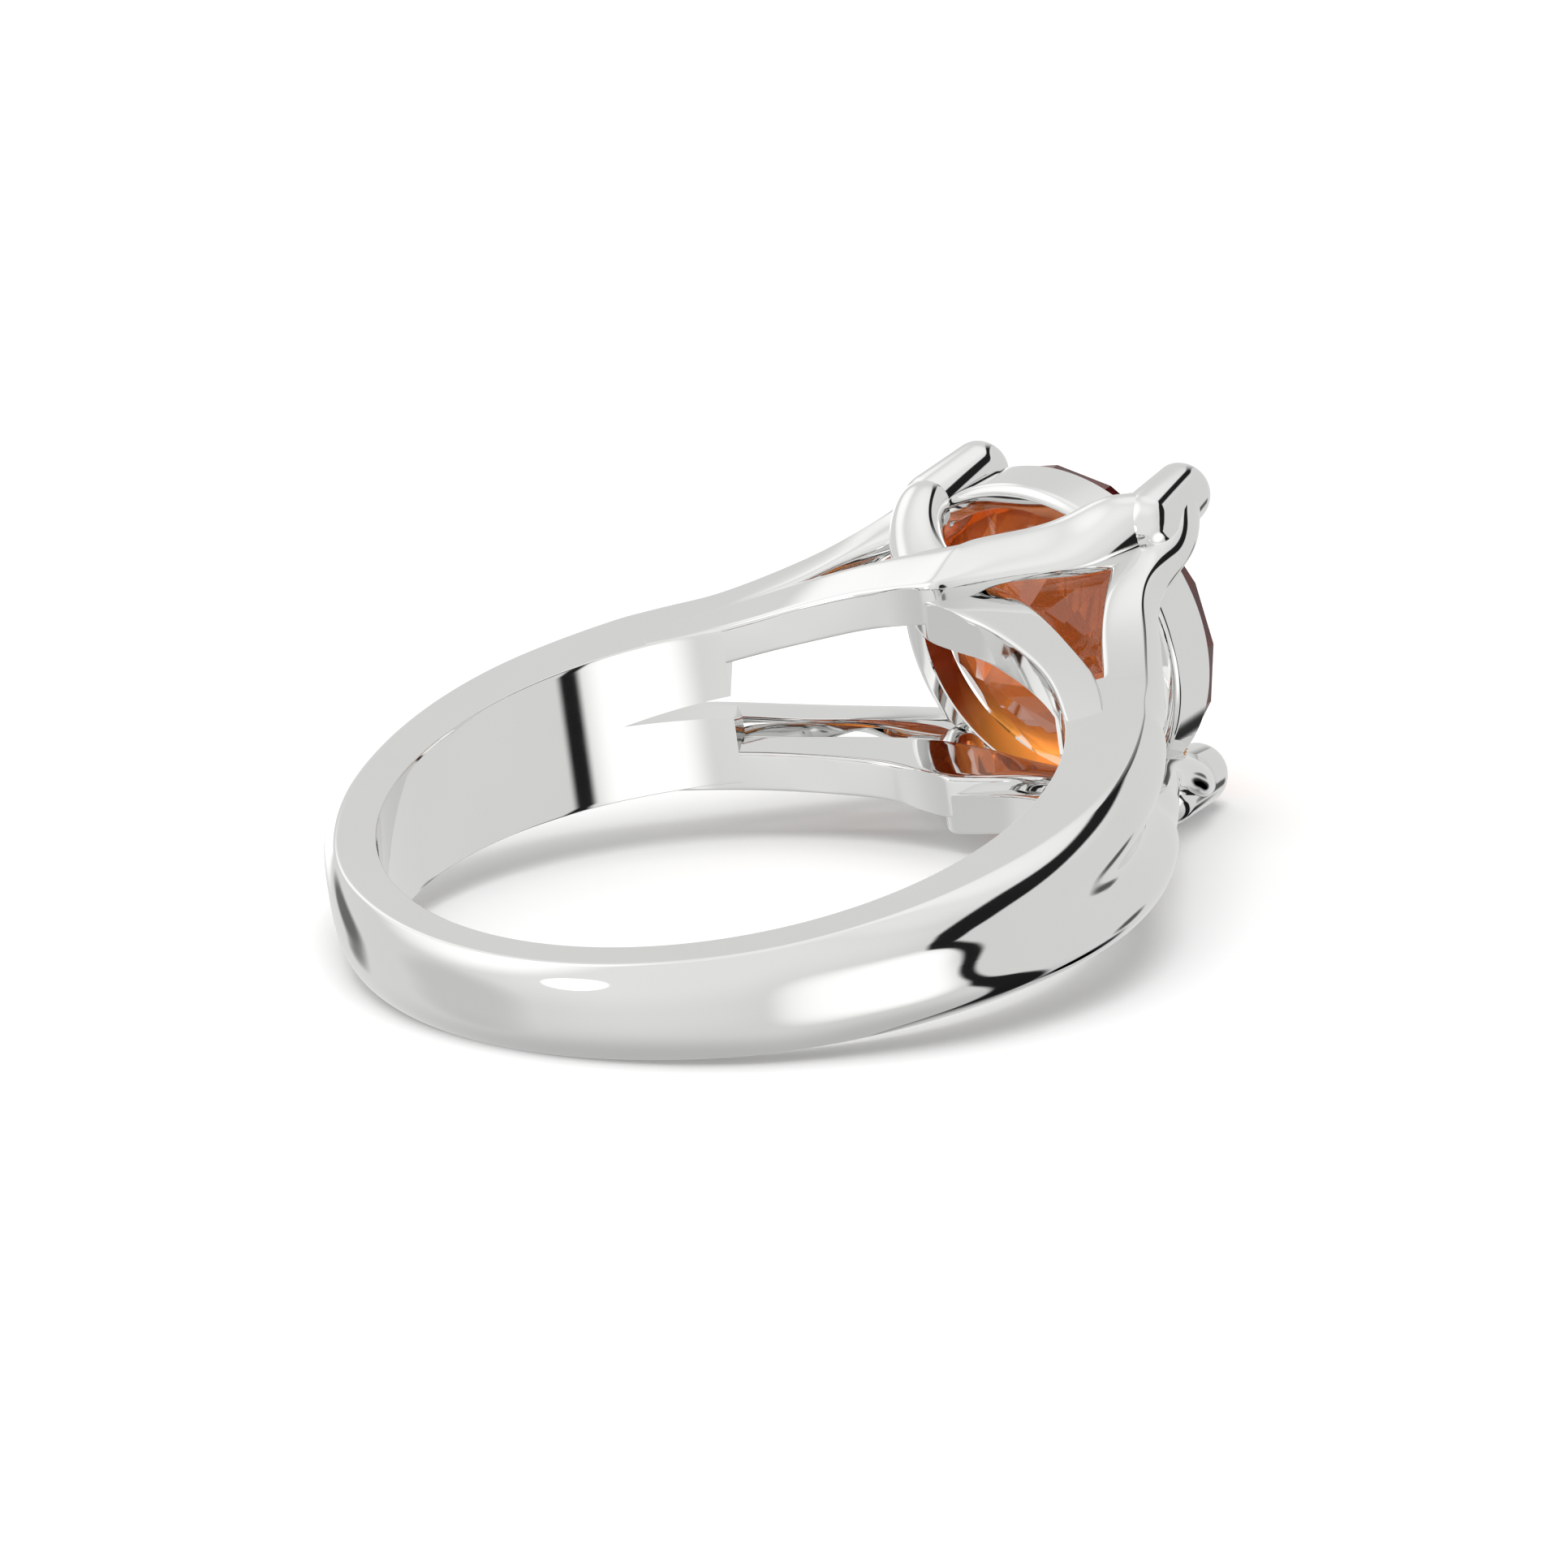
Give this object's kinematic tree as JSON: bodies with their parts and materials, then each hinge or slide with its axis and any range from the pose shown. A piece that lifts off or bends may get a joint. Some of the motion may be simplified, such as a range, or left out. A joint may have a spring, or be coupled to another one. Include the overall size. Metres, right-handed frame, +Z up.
{
  "type": "hessonite ring",
  "caption": "Finger ring lying on its side: a split shank whose crossing strands end in claws around a round faceted stone in a low collet.",
  "frame": {"origin": "middle of the resting ring's bounding box, on the floor under it", "axes": "+X towards the stone, level; +Z up; the ring lies on its side, so the finger hole's axis leans 8.6 degrees from +Z towards -X"},
  "size_m": [0.0256, 0.0214, 0.0093],
  "materials": {
    "white_gold": "polished",
    "hessonite": "polished facets"
  },
  "bodies": {
    "root": {"mount": "white_gold", "stone": "hessonite"}
  },
  "joints": []
}
